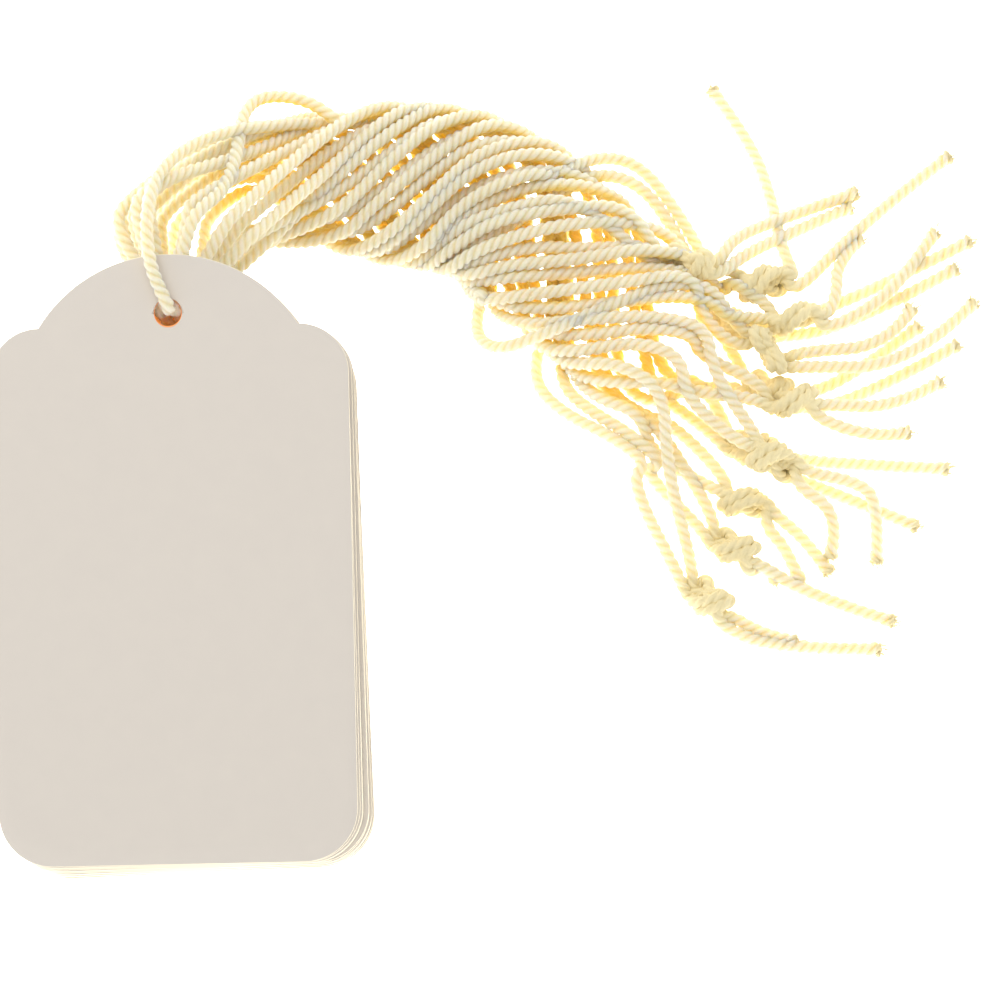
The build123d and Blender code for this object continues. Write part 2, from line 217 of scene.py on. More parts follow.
layer_turns = {**even_turns(OUTER_STRANDS), **even_turns(INNER_STRANDS)}
RING = sorted(layer_turns, key=lambda leg: (layer_turns[leg], leg))
RING_TURNS = even_turns(RING)
LATE_TURNS = even_turns([leg for leg in RING if leg not in LEAVERS])
print(len(RING_TURNS), "strands in the ring, of which", len(LEAVERS), "leave early")

# %% Middle line and outline of the hank, in millimetres from the floor under the top tag's hole
ORIGIN = HOLES[-1] * (1, 1, 0)
HANK_ROUTE = (
    (2.6, 12.4, 14.0), (6.2, 19.0, 10.4), (14.6, 20.6, 7.9), (26.0, 19.6, 6.6), (36.0, 17.2, 6.4),
    (45.0, 10.2, 5.95), (54.4, 2.4, 5.7),
)
HANK_HALF_WIDTHS = (6.0, 6.8, 8.3, 9.8, 10.4, 10.6, 10.2)
HANK_HALF_HEIGHTS = (9.0, 7.4, 6.2, 5.5, 5.3, 5.05, 4.85)


def hank_frame(share):
    """Middle point, half width and half height of the hank, on cubic curves through its listed points."""
    rows = np.column_stack((HANK_ROUTE, HANK_HALF_WIDTHS, HANK_HALF_HEIGHTS))
    slopes = np.gradient(rows, axis=0)
    place = share * (len(rows) - 1)
    first = min(int(place), len(rows) - 2)
    t = place - first
    ends = (2 * t**3 - 3 * t**2 + 1) * rows[first] + (3 * t**2 - 2 * t**3) * rows[first + 1]
    return ends + (t**3 - 2 * t**2 + t) * slopes[first] + (t**3 - t**2) * slopes[first + 1]


def rounded_bar(turn, half_width, half_height):
    """Point on a bar's rounded outline: turn 0 is its foot, a quarter its left end, a half its top."""
    radius = min(half_width, half_height)
    flat, wall = half_width - radius, half_height - radius
    bow = math.pi * radius / 2
    side = flat + wall + bow
    quarters, run = divmod((turn % 1.0) * 4 * side, side)
    run = side - run if quarters in (1, 3) else run
    angle = min(max(run - flat, 0.0) / radius, math.pi / 2)
    x = min(run, flat) + radius * math.sin(angle)
    z = wall + radius * math.cos(angle) - max(run - flat - bow, 0.0)
    return (x if quarters < 2 else -x), (z if quarters in (1, 2) else -z)


print("hank ends at", np.round(hank_frame(1.0)[:3], 1), "half sizes", np.round(hank_frame(1.0)[3:], 1))

# %% A strand's place in the twisted hank
LAYER_STEP = 0.9  # how much deeper an inner strand lies
TWIST_FROM, TWIST_TURNS = 0.25, 1.19  # share of the route where the twist starts, and its turns
TWIST_START, TWIST_END = 1.1, 0.95  # how fast it twists at its two ends, where 1 is even
START_TURN = 0.06
SPREAD_FROM, SPREAD_OVER = 0.35, 0.3  # where the other strands take up the leavers' room
LOOK_AHEAD = 0.01


def ring_place(leg, share, swell=0.0, turn_more=0.0):
    """Sideways place and height of a leg in the ring: its own turn, less the twist so far, which is a
    cubic of the way along."""
    row = hank_frame(share)
    along = max(0.0, (share - TWIST_FROM) / (1 - TWIST_FROM))
    eased = (TWIST_START * along + (3 - 2 * TWIST_START - TWIST_END) * along**2
             + (TWIST_START + TWIST_END - 2) * along**3)
    turn = RING_TURNS[leg]
    if leg in LATE_TURNS:
        late = min(max((along - SPREAD_FROM) / SPREAD_OVER, 0.0), 1.0)
        turn += late * (LATE_TURNS[leg] - turn)
    turn += START_TURN - TWIST_TURNS * eased + turn_more
    inset = LAYER_STEP * (leg in INNER_STRANDS) - swell
    return rounded_bar(turn, row[3] - inset, row[4] - inset)


def hank_place(leg, share, swell=0.0, turn_more=0.0):
    """Place of a leg in the hank: the middle point, plus its place across the way that the hank runs."""
    ahead = hank_frame(share + LOOK_AHEAD)[:3] - hank_frame(share - LOOK_AHEAD)[:3]
    side, height = ring_place(leg, share, swell, turn_more)
    return ORIGIN + hank_frame(share)[:3] + side * unit(np.cross(UP, ahead)) + UP * height


print("leg 1b joins the hank at", np.round(hank_place("1b", TWIST_FROM), 1))

# %% Knots: which way each one points, and where it lies
KNOT_HEADINGS_DEG = (-26.0, -38.0, -32.0, -46.0, -2.0, -50.0, -12.5, -20.0, -8.0, -38.0, -14.0, -18.0)
KNOT_PLACES = (
    (67.4, -3.6, 2.1), (64.9, -16.8, 2.1), (65.3, -10.4, 2.1), (63.2, -22.0, 2.1),
    (58.6, 9.6, 8.2), (60.4, -28.0, 2.1), (63.5, 4.2, 2.1), (69.9, -5.7, 5.0),
    (67.2, 8.4, 5.0), (68.2, -12.6, 5.0), (70.6, 4.2, 5.0), (67.5, 0.4, 5.0),
)
print(len(KNOT_PLACES), "knots, the highest at", max(place[2] for place in KNOT_PLACES), "mm")

# %% Cut ends: the points of each knot's left and right tail
TAILS = (
    (((77.0, -1.8, 1.15), (84.9, 4.4, 0.72)), ((78.0, -4.5, 1.15), (89.3, 2.2, 0.72))),
    (((71.6, -20.8, 1.15), (74.3, -24.7, 0.72)), ((69.4, -21.8, 1.15), (71.0, -25.8, 0.72))),
    (((76.0, -12.0, 1.15), (87.9, -12.5, 0.72)), ((75.0, -15.4, 1.15), (84.3, -19.3, 0.72))),
    (((72.0, -27.4, 1.15), (81.5, -30.4, 0.72)), ((67.0, -23.6, 1.15), (68.4, -25.8, 0.72))),
    (((63.7, 13.4, 6.6), (70.4, 17.1, 3.0), (77.9, 20.4, 0.72)),
     ((65.4, 11.8, 6.0), (72.0, 15.8, 2.6), (77.2, 18.6, 0.72))),
    (((66.4, -31.8, 1.15), (70.4, -32.8, 0.72)), ((68.0, -33.6, 1.15), (79.9, -33.6, 0.72))),
    (((76.0, 6.6, 1.15), (90.9, 14.6, 0.72)), ((76.4, 3.9, 1.15), (89.3, 11.3, 0.72))),
    (((82.0, -5.8, 2.6), (87.2, -2.2, 0.72)), ((79.8, -9.6, 3.6), (83.4, -8.4, 1.8))),
    (((69.2, 12.6, 4.0), (68.2, 18.6, 2.7), (66.0, 26.2, 1.4), (61.4, 32.8, 0.72)),
     ((76.0, 13.6, 2.6), (83.6, 20.8, 1.0), (88.7, 24.8, 0.72))),
    (((77.0, -14.6, 3.6), (80.0, -16.4, 2.4), (79.6, -23.5, 0.72)),
     ((75.6, -18.6, 3.6), (74.4, -23.0, 1.4))),
    (((75.4, 7.4, 4.4), (75.4, 11.2, 3.2), (78.2, 14.6, 1.8)),
     ((80.4, 6.6, 3.4), (84.4, 11.6, 2.2), (86.8, 15.6, 0.8))),
    (((81.2, 1.2, 3.8), (84.0, 6.4, 1.4)), ((83.6, -1.2, 3.4), (91.2, 7.2, 0.72))),
)
print(sum(len(pair) for pair in TAILS), "cut ends")

# %% [markdown]
# ## The knot
#
# Both legs go side by side through one overhand knot: the pair runs to the far end of the knot, wraps
# back round itself, and comes out through its own loop. The turns could be set by hand, point by point,
# but they would soon cut through each other. A long trefoil is an overhand knot as a formula, so its
# cubic, quartic and quintic give the middle line. Each knot is rolled to its own angle.

# %% One leg's way through an overhand knot
KNOT_STEPS = (-1.95, -1.62, -1.25, -0.85, -0.42, 0.0, 0.42, 0.85, 1.25, 1.62, 1.95)
KNOT_ALONG_MM, KNOT_ACROSS_MM, KNOT_FLATTEN = 0.18, 0.90, 0.9
PAIR_MM = 0.54  # from the middle of the pair to one leg
TINY = 1e-6  # keeps a point on the axis from having no direction


def knot_points(place, axis, left, roll, hand):
    """Long trefoil: along t^5 - 10t, across t^3 - 3t, above t^4 - 4t^2 + 2. The leg keeps to one side of
    the pair."""
    t = np.array(KNOT_STEPS)
    along = KNOT_ALONG_MM * (t**5 - 10 * t)
    across = KNOT_ACROSS_MM * (t**3 - 3 * t)
    above = KNOT_ACROSS_MM * (t**4 - 4 * t**2 + 2) * KNOT_FLATTEN
    flat = np.column_stack((along, across, above))
    run = unit(np.gradient(flat, axis=0))
    out = unit(flat * (0, 1, 1) + TINY)
    flat = flat + hand * PAIR_MM * unit(np.cross(run, out))
    across_way = math.cos(roll) * left + math.sin(roll) * UP
    above_way = -math.sin(roll) * left + math.cos(roll) * UP
    return place + flat @ np.array((axis, across_way, above_way))


knot_size = np.ptp(knot_points(np.zeros(3), RIGHT, BACKWARD, 0.0, 1), axis=0)
print("a knot's control points span", np.round(knot_size, 1), "mm")

# %% [markdown]
# ## Control points of each leg
#
# Every leg is one smooth spline. Its points could be clicked in one by one, but two dozen legs would
# then drift out of the ring. So they come from the hole, the ring, the knot and the tail above, and
# they are few: round the edge of the hole, out between the cards, along the hank, through the knot and
# out to the cut end. The hank is not machine made, so each strand wanders a little, and a few strands
# that stand off in loose bows are moved to listed points.

# %% Out of the hole and between the cards
STRING_SIDE = 0.76  # from the middle of the hole to the string in it
CARD_PITCH, CARD_RUN = 1.8, 11.4  # from card to card, and from the hole to past the arch
TILT_STEP = float(np.diff(TILTS).mean())
# A leg aims at its place in the hank: a common shift, one for odd and even tags, and a share of the place.
AIM_SIDE, AIM_SPLIT, AIM_SHARE, FIRST_BEND_SHARE = 1.0, 0.9, 0.88, 0.45
HOLE_START_MM, HOLE_EDGE_MM, MIDWAY = 0.2, 1.7, 0.55
RISE_MM, LEAD_MM = 3.6, 1.8
FACES = {"b": -1, "f": 1}  # a back leg runs under its card, and a front leg over it


def legs_of(number):
    """Names of a tag's two legs."""
    return [f"{number}{letter}" for letter in FACES]


def leave_angle(leg):
    """Angle at which a leg leaves its hole between two cards, aimed at its place in the hank."""
    number = int(leg[:-1])
    split = -AIM_SPLIT if number % 2 else AIM_SPLIT
    aim = AIM_SIDE - AIM_SHARE * ring_place(leg, TWIST_FROM, 0.0, -START_TURN)[0] + split
    return math.asin(aim / CARD_RUN)


def climbs(leg):
    """Whether a leg joins the hank on its left side, so that it runs on past the card before it turns."""
    return ring_place(leg, TWIST_FROM)[0] > 0


def hole_points(number, letter):
    """First points of a leg: in the hole, round its edge, and up the card along the leg's own ray."""
    leg, face = f"{number}{letter}", FACES[letter]
    hole, tilt, normal = HOLES[number - 1], TILTS[number - 1], NORMALS[number - 1]
    both = legs_of(number)
    first = FIRST_BEND_SHARE * sum(leave_angle(name) for name in both) / len(both)
    out = RIGHT * math.sin(first) + uphill(tilt) * math.cos(first)
    start = hole + RIGHT * STRING_SIDE * (-1 if number % 2 else 1) + HOLE_START_MM * out
    gap = face * normal * CARD_PITCH / 2
    leave = leave_angle(leg)
    ray = RIGHT * math.sin(leave) + uphill(tilt + face * TILT_STEP / 2) * math.cos(leave)
    points = [start, start + gap, start + gap + HOLE_EDGE_MM * out, hole + gap + MIDWAY * CARD_RUN * ray,
              hole + gap + CARD_RUN * ray]
    return points + [points[-1] + (RISE_MM * BACKWARD if climbs(leg) else LEAD_MM * ray)]


print(sum(climbs(leg) for leg in RING), "legs join the hank on its left side")

# %% From the cards to the cut end
rng = np.random.default_rng(12)
WANDER_MM, WANDER_TURN = 0.34, 0.009
ROLLS = rng.uniform(0, 2 * math.pi, TAG_COUNT)
STATIONS = (0.0, 0.2, 0.3, 0.4, 0.5, 0.6, 0.7, 0.8, 0.9, 1.0)
PINCH_SHARE, PINCH_SPACING = 0.5, 4.4  # where a pair comes together, and how close
FOLLOW_SHARE, FOLLOW_BLEND = 1.09, 0.4  # a point past the end of the hank, and its pull
KNOT_HALF, KNOT_CLEAR_MM = 2.1, 4.0  # half a knot's length, and the room in front of it
LEG_SPACING = 1.85
LOWEST_MM = 0.94  # lowest middle line that keeps the skin above the floor


def hank_points(leg, entry, axis):
    """A leg's places along the hank, each a little off its course, as far as they clear its knot."""
    points = []
    for station in STATIONS:
        share = TWIST_FROM + (1 - TWIST_FROM) * station
        swell, turn_more = rng.normal(0, WANDER_MM), rng.normal(0, WANDER_TURN)
        point = hank_place(leg, share, swell, turn_more)
        if (entry - point) @ axis > KNOT_CLEAR_MM and (climbs(leg) or station > 0):
            points.append(point)
    return points


def leg_points(number, letter):
    """Control points of one leg, in millimetres: its hole, its places in the hank, a pinch where the two
    legs come together, the knot and the tail, none of them lower than the floor lets it lie."""
    leg, both = f"{number}{letter}", legs_of(number)
    heading = math.radians(KNOT_HEADINGS_DEG[number - 1])
    axis = np.array((math.cos(heading), math.sin(heading), 0.0))
    left = np.cross(UP, axis)
    place = ORIGIN + np.array(KNOT_PLACES[number - 1])
    entry = place - axis * (KNOT_HALF + STRING_DIAMETER)
    points = hole_points(number, letter) + hank_points(leg, entry, axis)
    middle = sum(hank_place(name, 1.0) for name in both) / len(both)
    sides = {name: ring_place(name, 1.0)[0] for name in both}
    hand = 1 if sides[leg] == max(sides.values()) else -1
    across = unit(np.cross(UP, entry - middle))
    pinch = middle + PINCH_SHARE * (entry - middle) + across * hand * PINCH_SPACING / 2
    follow = FOLLOW_BLEND * hank_place(leg, FOLLOW_SHARE) + (1 - FOLLOW_BLEND) * (points[-1] + pinch) / 2
    points.extend(p for p in (follow, pinch) if (entry - p) @ axis > KNOT_CLEAR_MM)
    points.append(entry + left * hand * LEG_SPACING / 2)
    points.extend(knot_points(place, axis, left, ROLLS[number - 1], hand))
    points.append(place + axis * (KNOT_HALF + STRING_DIAMETER) + left * hand * LEG_SPACING / 2)
    points.extend(ORIGIN + np.array(p) for p in TAILS[number - 1][0 if hand > 0 else 1])
    points = np.array(points)
    points[:, 2] = np.maximum(points[:, 2], LOWEST_MM)
    return points


LEGS = {f"{n}{letter}": leg_points(n, letter) for n in range(1, TAG_COUNT + 1) for letter in FACES}
counts = [len(points) for points in LEGS.values()]
print(len(LEGS), "legs of", min(counts), "to", max(counts), "control points")

# %% Loose bows: a leg, which of its points give way, and the points in their place
BOWS = (
    ("12f", 12, 14, (
        (34.7, 6.9, 3.0), (34.1, 2.1, 4.2), (37.0, -0.5, 7.4), (42.4, 1.0, 10.2))),
    ("12f", 0, 7, (
        (0.1, 0.3, 21.4), (0.1, 0.4, 22.5), (-0.8, 2.1, 22.9), (-1.9, 4.7, 23.7),
        (-2.4, 7.9, 24.6), (-2.2, 12.3, 24.6), (-0.6, 17.1, 22.5), (3.9, 21.4, 19.0),
        (10.8, 23.9, 15.5))),
    ("12b", 5, 7, (
        (6.2, 14.5, 20.5), (7.5, 20.2, 17.5), (7.8, 25.4, 15.5), (10.2, 28.0, 14.0),
        (15.5, 27.8, 12.5), (19.4, 24.8, 11.5))),
    ("6b", 13, 16, (
        (41.1, 1.2, 1.4), (41.1, -3.4, 2.6), (44.5, -7.0, 4.0), (49.7, -9.9, 5.2),
        (53.6, -12.8, 5.0))),
    ("4f", 13, 16, (
        (43.9, 1.2, 2.2), (44.1, -3.5, 3.0), (47.4, -6.8, 4.6), (51.8, -9.7, 5.6),
        (55.6, -13.0, 4.8))),
    ("1f", 12, 18, (
        (43.4, 19.5, 9.5), (47.5, 22.9, 7.0), (53.0, 22.8, 5.0), (58.1, 16.1, 3.6),
        (61.2, 10.1, 2.4), (61.7, 4.2, 2.0))),
    ("7b", 12, 15, (
        (42.1, 16.3, 9.4), (47.3, 21.0, 7.0), (53.0, 20.4, 5.0), (57.1, 14.9, 3.6),
        (59.6, 9.2, 2.6))),
)
for leg, first, after, bow in BOWS:
    LEGS[leg] = np.concatenate((LEGS[leg][:first], ORIGIN + np.array(bow), LEGS[leg][after:]))
print(len(BOWS), "bows on legs", sorted({leg for leg, *_ in BOWS}))

# %% [markdown]
# ## Twisted string
#
# The string is three plies laid together. A plain tube with a bump map would show the twist from the
# front, but its outline would stay smooth. So the section is the outline of three overlapping discs,
# and it turns once every few millimetres along the spline: the grooves are real geometry. Inside a knot
# the cotton is squeezed a little thinner, and at the cut end the plies open.

# %% Spline with a leg's control points
RING_STEP_MM = 0.2
SPLINE_STEPS = 24


def spline_line(name, points):
    """Points read from the smooth spline that has these control points, spaced evenly, and how far along
    each one is."""
    curve = bpy.data.curves.new(name, "CURVE")
    curve.dimensions = "3D"
    curve.resolution_u = SPLINE_STEPS
    spline = curve.splines.new("NURBS")
    spline.points.add(len(points) - 1)
    spline.points.foreach_set("co", np.column_stack((points, np.ones(len(points)))).ravel())
    spline.order_u = 3
    spline.use_endpoint_u = True
    holder = bpy.data.objects.new(name, curve)
    line_mesh = bpy.data.meshes.new_from_object(holder)
    line = np.empty(len(line_mesh.vertices) * 3)
    line_mesh.vertices.foreach_get("co", line)
    line = line.reshape(-1, 3)
    bpy.data.objects.remove(holder)
    bpy.data.curves.remove(curve)
    bpy.data.meshes.remove(line_mesh)
    run = np.concatenate(((0.0,), np.cumsum(np.linalg.norm(np.diff(line, axis=0), axis=1))))
    even = np.linspace(0.0, run[-1], int(round(run[-1] / RING_STEP_MM)) + 1)
    return np.column_stack([np.interp(even, run, line[:, k]) for k in range(3)]), even


trial_line, trial_run = spline_line("trial", LEGS["1b"])
print("leg 1b is", round(trial_run[-1], 1), "mm long and has", len(trial_line), "rings")

# %% Directions along a leg
AIM_TRIES = 400
AIMS = unit(np.random.default_rng(3).normal(size=(AIM_TRIES, 3)))


def frames_along(line):
    """Directions along, across and above each point, turning no more than the line itself does: a frame
    square to one fixed aim, turned back by the sum of its own twist."""
    ahead = unit(np.gradient(line, axis=0))
    aim = AIMS[np.abs(ahead @ AIMS.T).max(axis=0).argmin()]
    across = unit(np.cross(ahead, aim))
    above = np.cross(ahead, across)
    twist = np.einsum("ij,ij->i", np.diff(across, axis=0), (above[1:] + above[:-1]) / 2)
    back = -np.concatenate(((0.0,), np.cumsum(twist)))[:, None]
    turned = np.cos(back) * across + np.sin(back) * above
    return ahead, turned, np.cos(back) * above - np.sin(back) * across


trial_ahead, trial_across, _ = frames_along(trial_line)
print("frames are square to within", np.abs(np.einsum("ij,ij->i", trial_ahead, trial_across)).max())

# %% Section of three plies
PLY_COUNT = 3
RING_POINTS = 18
PLY_SPREAD, FRAY_SPREAD = 0.40, 0.52
angles = np.linspace(0, 2 * math.pi, RING_POINTS, endpoint=False)


def ply_outline(spread):
    """Distance from the middle to the edge of three discs, by angle, for discs that far from the middle,
    all in shares of the string's radius."""
    from_ply = (angles + math.pi / PLY_COUNT) % (2 * math.pi / PLY_COUNT) - math.pi / PLY_COUNT
    disc = 1 - spread
    return spread * np.cos(from_ply) + np.sqrt(disc**2 - (spread * np.sin(from_ply)) ** 2)


print("grooves take", round(1 - ply_outline(PLY_SPREAD).min(), 2), "of the radius")

# %% Skin that faces the middle of the hank, painted with a golden glow where light comes through
CORE_SHARES = np.linspace(0.12, 1.25, 80)  # shares of the hank's route, past its end too
CORE_FROM, CORE_FADE_IN, CORE_TO, CORE_FADE_OUT = 0.14, 0.1, 1.2, 0.2
CORE_REACH_MM, CORE_FADE_MM = 11.5, 2
FACING_FROM, FACING_INNER, FACING_SPAN = 0.15, 0.55, 0.9
CORE_LINE = np.array([ORIGIN + hank_frame(share)[:3] for share in CORE_SHARES])


def smooth_step(x):
    """0 below 0, 1 above 1, and an even ease between."""
    x = np.clip(x, 0, 1)
    return x * x * (3 - 2 * x)


def core_facing(line, ring, inner):
    """How far each point of a string's skin faces the hank's middle line, 0 to 1, and 0 outside the hank.
    A strand of the inner layer shows more of it."""
    away = np.linalg.norm(line[:, None] - CORE_LINE, axis=2)
    nearest = away.argmin(axis=1)
    inward = unit(CORE_LINE[nearest] - line)
    share = CORE_SHARES[nearest]
    inside = smooth_step((share - CORE_FROM) / CORE_FADE_IN)
    inside = inside * smooth_step((CORE_TO - share) / CORE_FADE_OUT)
    inside = inside * smooth_step((CORE_REACH_MM - away.min(axis=1)) / CORE_FADE_MM)
    facing = np.einsum("ijk,ik->ij", ring, inward)
    return inside[:, None] * smooth_step((facing + FACING_FROM + FACING_INNER * inner) / FACING_SPAN)


trial_core = core_facing(trial_line, trial_across[:, None], False)
print("one side of leg 1b faces the core over", round(float(trial_core.mean()), 2), "of its length")


# %% Faces of a closed grid, and numbers at its points
def grid_faces(rows, columns):
    """Quads between the rows of a grid whose columns close into a ring."""
    row, column = np.meshgrid(np.arange(rows - 1), np.arange(columns), indexing="ij")
    here, beside = row * columns + column, row * columns + (column + 1) % columns
    return np.stack((here, beside, beside + columns, here + columns), -1).reshape(-1, 4)


def put_attribute(piece, name, values):
    """Number or vector at each point of a piece, for its material to read."""
    flat = values.ndim == 1
    layer = piece.data.attributes.new(name, "FLOAT" if flat else "FLOAT_VECTOR", "POINT")
    layer.data.foreach_set("value" if flat else "vector", values.ravel())


print(len(grid_faces(2, RING_POINTS)), "quads between two rings")

# %% String surface
PLY_PITCH_MM, LAY = 3.3, -1.0  # length of one turn, and its hand
FULLNESS = 1.15  # plies swell past the nominal size where nothing presses them
KNOT_SQUEEZE, KNOT_REACH_MM = 0.06, 4.6
FRAY_MM, FRAY_SWELL, CUT_MM = 2.2, 1.22, 0.5
END_CROWN_MM = STRING_DIAMETER / 5


def string_mesh(name, points, knot, inner, material):
    """Ring of three plies carried along the leg's spline: radius by angle, turned by the lay, drawn in
    near the knot and opened at the cut end. Two points close its ends."""
    line, run = spline_line(name, points)
    ahead, across, above = frames_along(line)
    fray = smooth_step(1 - (run[-1] - run) / FRAY_MM)[:, None]
    outline = (1 - fray) * ply_outline(PLY_SPREAD) + fray * ply_outline(FRAY_SPREAD) * FRAY_SWELL
    tied = smooth_step(2 - 2 * np.linalg.norm(line - knot, axis=1) / KNOT_REACH_MM)
    squeeze = 1 - KNOT_SQUEEZE * tied
    radius = STRING_DIAMETER / 2 * FULLNESS * squeeze[:, None] * outline
    turn = angles + LAY * (2 * math.pi / PLY_PITCH_MM) * run[:, None]
    ring = np.cos(turn)[..., None] * across[:, None] + np.sin(turn)[..., None] * above[:, None]
    skin = line[:, None] + radius[..., None] * ring
    rows, count = turn.shape
    ends = np.stack((line[0], line[-1] + END_CROWN_MM * ahead[-1]))
    j = np.arange(count)
    last = (rows - 1) * count
    start_cap = np.column_stack((np.full(count, rows * count), (j + 1) % count, j))
    end_cap = np.column_stack((np.full(count, rows * count + 1), last + j, last + (j + 1) % count))
    faces = grid_faces(rows, count).tolist() + start_cap.tolist() + end_cap.tolist()
    piece = mesh_piece(name, np.concatenate((skin.reshape(-1, 3), ends)), faces, material)
    # lay is the string pulled straight; crest is 1 on a ply, 0 in a groove; tied is 1 where it is packed.
    straight = np.stack((run[:, None] + 0 * turn, radius * np.cos(turn), radius * np.sin(turn)), -1)
    straight_ends = [(run[0], 0, 0), (run[-1], 0, 0)]
    put_attribute(piece, "lay", np.concatenate((straight.reshape(-1, 3), straight_ends)) * MM)
    crest = (outline - outline.min(axis=1, keepdims=True)) / np.ptp(outline, axis=1)[:, None]
    put_attribute(piece, "crest", np.concatenate((crest.ravel(), (0.5, 0.5))))
    packed = np.maximum(tied, (run > run[-1] - CUT_MM).astype(float))
    put_attribute(piece, "tied", np.concatenate((np.repeat(packed, count), (0.0, 1.0))))
    # core is the share of painted golden glow, on skin that faces the hank's middle.
    put_attribute(piece, "core", np.concatenate((core_facing(line, ring, inner).ravel(), (0.0, 0.0))))
    return piece, line, run[-1]


print("a ring of", RING_POINTS, "points every", RING_STEP_MM, "mm, one turn in", PLY_PITCH_MM, "mm")

# %% [markdown]
# ## Loose fibres
#
# Cotton is spun from short fibres, so a few stand off all along the string, and a tuft opens at each cut
# end. A hair system could grow them, but it would stay behind when the part is exported. Thin tubes of a
# few faces are a plain mesh that goes with it. Each tube follows a parabola, and none starts near the
# cards, so that a tag can turn without meeting one.

# %% Lines of the fibres
FIBRE_EVERY_MM, FIBRE_LENGTHS_MM, FIBRE_LEAN = 1.1, (0.7, 2.0), 0.8
TUFT_COUNT, TUFT_LENGTHS_MM, TUFT_LEANS, TUFT_RINGS_BACK = 30, (0.9, 1.9), (0.05, 0.55), 4
FIBRE_CURL, FIBRE_ROOT, FIBRE_FLOOR_MM, FIBRE_FREE_MM = 0.35, 0.42, 0.1, 14.0
FIBRE_STEPS = 5
ALONG_FIBRE = np.linspace(0, 1, FIBRE_STEPS)[None, :, None]
fibre_rng = np.random.default_rng(7)


def fibre_lines(line):
    """Middle lines of a leg's fibres, the way each one starts, and which are in the tuft: root plus way
    times t plus curl times t squared. The tuft's roots are spread over the cut end."""
    ahead, across, above = frames_along(line)
    sparse = int(len(line) * RING_STEP_MM / FIBRE_EVERY_MM)
    count = sparse + TUFT_COUNT
    tuft = np.arange(count) >= sparse
    free = int(FIBRE_FREE_MM / RING_STEP_MM)
    at = np.where(tuft, len(line) - TUFT_RINGS_BACK, fibre_rng.integers(free, len(line), count))
    turn = fibre_rng.uniform(0, 2 * math.pi, count)[:, None]
    outward = np.cos(turn) * across[at] + np.sin(turn) * above[at]
    lean = np.where(tuft, fibre_rng.uniform(*TUFT_LEANS, count), FIBRE_LEAN)[:, None]
    sense = np.where(tuft, 1.0, fibre_rng.choice((-1.0, 1.0), count))[:, None]
    way = unit(lean * outward + sense * ahead[at])
    shares = fibre_rng.uniform(0, 1, count)
    lengths = np.where(tuft, np.interp(shares, (0, 1), TUFT_LENGTHS_MM),
                       np.interp(shares, (0, 1), FIBRE_LENGTHS_MM))[:, None, None]
    curl = FIBRE_CURL * fibre_rng.normal(size=(count, 3))
    depth = np.where(tuft, FIBRE_ROOT * np.sqrt(1 - shares), FIBRE_ROOT)[:, None]
    root = line[at] + outward * STRING_DIAMETER * depth
    t = ALONG_FIBRE
    middle = root[:, None] + lengths * (way[:, None] * t + curl[:, None] * t * t)
    middle[..., 2] = np.maximum(middle[..., 2], FIBRE_FLOOR_MM)
    return middle, way, tuft


print("a fibre about every", FIBRE_EVERY_MM, "mm, and", TUFT_COUNT, "in each tuft")

# %% Fibre surface
FIBRE_SIDES = 3
FIBRE_RADIUS_MM, TUFT_RADIUS_MM, FIBRE_TAPER = 0.028, 0.07, 0.6
OFF_LINE = 0.3  # keeps the helper direction off the fibre's own


def fibre_mesh(name, line, material):
    """A closed tube of three sides round each fibre's line, thinner to the tip."""
    middle, way, tuft = fibre_lines(line)
    count = len(way)
    side = unit(np.cross(way, np.roll(way, 1, axis=1) + OFF_LINE))
    other = np.cross(way, side)
    corner = np.linspace(0, 2 * math.pi, FIBRE_SIDES, endpoint=False)[:, None]
    section = np.cos(corner) * side[:, None] + np.sin(corner) * other[:, None]
    thick = np.where(tuft, TUFT_RADIUS_MM, FIBRE_RADIUS_MM)[:, None, None, None]
    radius = thick * (1 - FIBRE_TAPER * ALONG_FIBRE[..., None])
    skin = (middle[:, :, None] + radius * section[:, None]).reshape(-1, 3)
    one = FIBRE_STEPS * FIBRE_SIDES
    first = one * np.arange(count)[:, None, None]
    quads = (first + grid_faces(FIBRE_STEPS, FIBRE_SIDES)).reshape(-1, 4)
    ends = (first + np.array(((2, 1, 0), (one - 3, one - 2, one - 1)))).reshape(-1, 3)
    piece = mesh_piece(name, skin, quads.tolist() + ends.tolist(), material)
    put_attribute(piece, "lay", skin * MM)
    put_attribute(piece, "crest", np.ones(count * one))
    put_attribute(piece, "tied", np.ones(count * one))
    return piece


print("each fibre has", FIBRE_STEPS * FIBRE_SIDES, "points")

# %% [markdown]
# ## Undyed cotton
#
# Cotton yarn is matt and a little translucent: light goes in, meets fibre after fibre and comes out
# warmer, so the deep gaps of the hank glow yellow. Subsurface light alone would need many samples to
# show that, so the skin that faces the middle of the hank is also given a painted golden glow. The
# grooves between the plies are painted a touch darker and more yellow than their crests, as painted
# shade. In a knot and at a cut end the cotton is packed tight, and little light goes through; there it is
# painted a brighter warm cream, as painted light. Fine noise, stretched along the string, stands for the
# fibres; it is drawn coarser than real fibres so that it shows.

# %% Cotton material
FIBRE_MM, FIBRE_LONG = 0.10, 14.0
PATCH_MM = 3 * STRING_DIAMETER
FIBRE_RELIEF_MM = 0.05
FIBRE_TONES, PATCH_TONES = (0.86, 1.08), (0.92, 1.06)
LIGHT_THROUGH, LIGHT_DEPTH_MM, LIGHT_SPREAD = 0.8, 2.1, (1.0, 0.8, 0.48)
# Painted shade: the grooves between the plies get this darker, yellower cream, and the crests the lighter
# one.
GROOVE_SHADE_CREAM = "#eddeb6"
